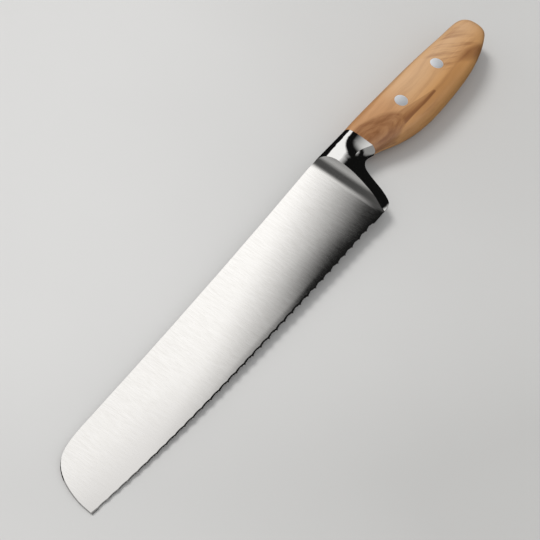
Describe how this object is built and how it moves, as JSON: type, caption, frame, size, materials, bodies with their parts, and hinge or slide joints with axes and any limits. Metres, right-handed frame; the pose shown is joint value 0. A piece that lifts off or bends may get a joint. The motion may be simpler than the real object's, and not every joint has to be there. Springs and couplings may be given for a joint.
{
  "type": "bread knife",
  "caption": "Bread knife with a double-serrated blade, a polished half bolster and a riveted olive-wood handle, lying on its side.",
  "frame": {"origin": "the heel's corner on the cutting-edge line, in the knife's middle plane", "axes": "+X from the heel to the tip along the cutting edge, +Y from the spine to the cutting edge, +Z out of the left flank, so the knife lies on its right side"},
  "size_m": [0.363, 0.0419, 0.0172],
  "materials": {
    "blade_steel": "satin ground across the flanks, mirror polished on the neck",
    "handle_wood": "oiled olive wood, smooth and slightly glossy",
    "rivet_steel": "satin, ground flush with the wood"
  },
  "bodies": {
    "root": {"blade_forging": "blade_steel", "left_handle_half": "handle_wood", "right_handle_half": "handle_wood", "front_rivet_socket": "rivet_steel", "front_rivet_pin": "rivet_steel", "rear_rivet_socket": "rivet_steel", "rear_rivet_pin": "rivet_steel"}
  },
  "joints": []
}
